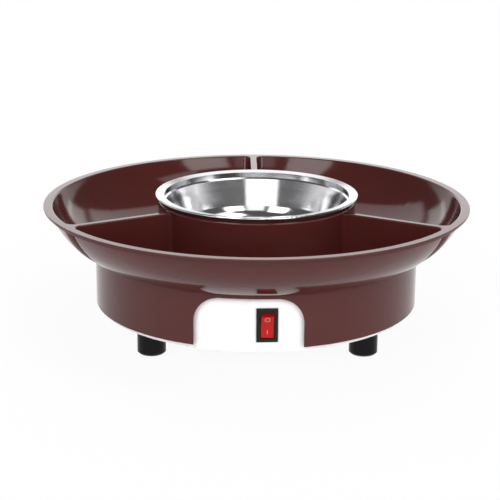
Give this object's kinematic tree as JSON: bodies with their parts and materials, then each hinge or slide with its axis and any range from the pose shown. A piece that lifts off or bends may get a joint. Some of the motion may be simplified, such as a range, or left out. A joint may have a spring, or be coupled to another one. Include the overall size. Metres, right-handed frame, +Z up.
{
  "type": "chocolate melter",
  "caption": "Electric chocolate melter: a compartmented serving tray with a skirt stands over a round heated base and holds a steel melting bowl at its middle.",
  "frame": {"origin": "on the surface under the feet, below the middle of the part", "axes": "+Z up along the tray's and bowl's common axis, -Y out of the front with the arch and the switch, +X to the right of someone who faces the front"},
  "size_m": [0.29, 0.29, 0.091],
  "materials": {
    "brown_gloss": "high gloss dark red-brown injection moulding",
    "white_gloss": "gloss white injection moulding",
    "mirror_steel": "mirror polished stainless steel",
    "cast_aluminium": "machined satin",
    "silicone": "matte translucent white",
    "black_rubber": "smooth gloss black",
    "black_plastic": "satin gloss black",
    "red_clear": "translucent red, gloss",
    "natural_plastic": "matte natural",
    "screw_steel": "zinc plated",
    "clamp_steel": "galvanised sheet",
    "element_steel": "oxidised resistance foil",
    "mica": "pressed mica, satin",
    "bimetal_housing": "matte phenolic",
    "fuse_metal": "satin",
    "lamp_glass": "clear glass",
    "terminal_brass": "bright",
    "lead_brown": "matte insulation",
    "lead_blue": "matte insulation"
  },
  "bodies": {
    "base": {"base_housing": "white_gloss", "base_bottom_plate": "white_gloss", "front_left_foot": "black_rubber", "front_right_foot": "black_rubber", "rear_right_foot": "black_rubber", "rear_left_foot": "black_rubber", "foot_screws": "screw_steel", "housing_screws": "screw_steel", "heating_plate": "cast_aluminium", "plate_seal": "silicone", "upper_mica": "mica", "lower_mica": "mica", "heating_element": "element_steel", "heater_clamp": "clamp_steel", "clamp_screws": "screw_steel", "thermostat": "bimetal_housing", "thermostat_screws": "screw_steel", "thermal_fuse": "fuse_metal", "fuse_clip": "clamp_steel", "switch_housing": "black_plastic", "switch_lamp": "lamp_glass", "switch_terminals": "terminal_brass", "terminal_block": "natural_plastic", "terminal_screws": "screw_steel", "cord_gland": "black_rubber", "cord_clamp": "natural_plastic", "cord_clamp_screws": "screw_steel", "lead_line": "lead_brown", "lead_switched": "lead_brown", "lead_fused": "lead_brown", "lead_element": "lead_brown", "lead_neutral": "lead_blue", "lead_lamp": "lead_blue"},
    "tray": {"serving_tray": "brown_gloss", "tray_skirt": "brown_gloss"},
    "bowl": {"melting_bowl": "mirror_steel"},
    "rocker": {"switch_rocker": "red_clear"}
  },
  "joints": [
    {"name": "tray_lift", "type": "slide", "parent": "base", "child": "tray", "axis": [0, 0, 1], "range_m": [0, 0.06]},
    {"name": "bowl_lift", "type": "slide", "parent": "tray", "child": "bowl", "axis": [0, 0, 1], "range_m": [0, 0.05]},
    {"name": "rocker_tip", "type": "hinge", "parent": "base", "child": "rocker", "pos_m": [0.00502, -0.10638, 0.0318], "axis": [0.9989, 0.0471, 0], "range_deg": [-18, 0]}
  ]
}
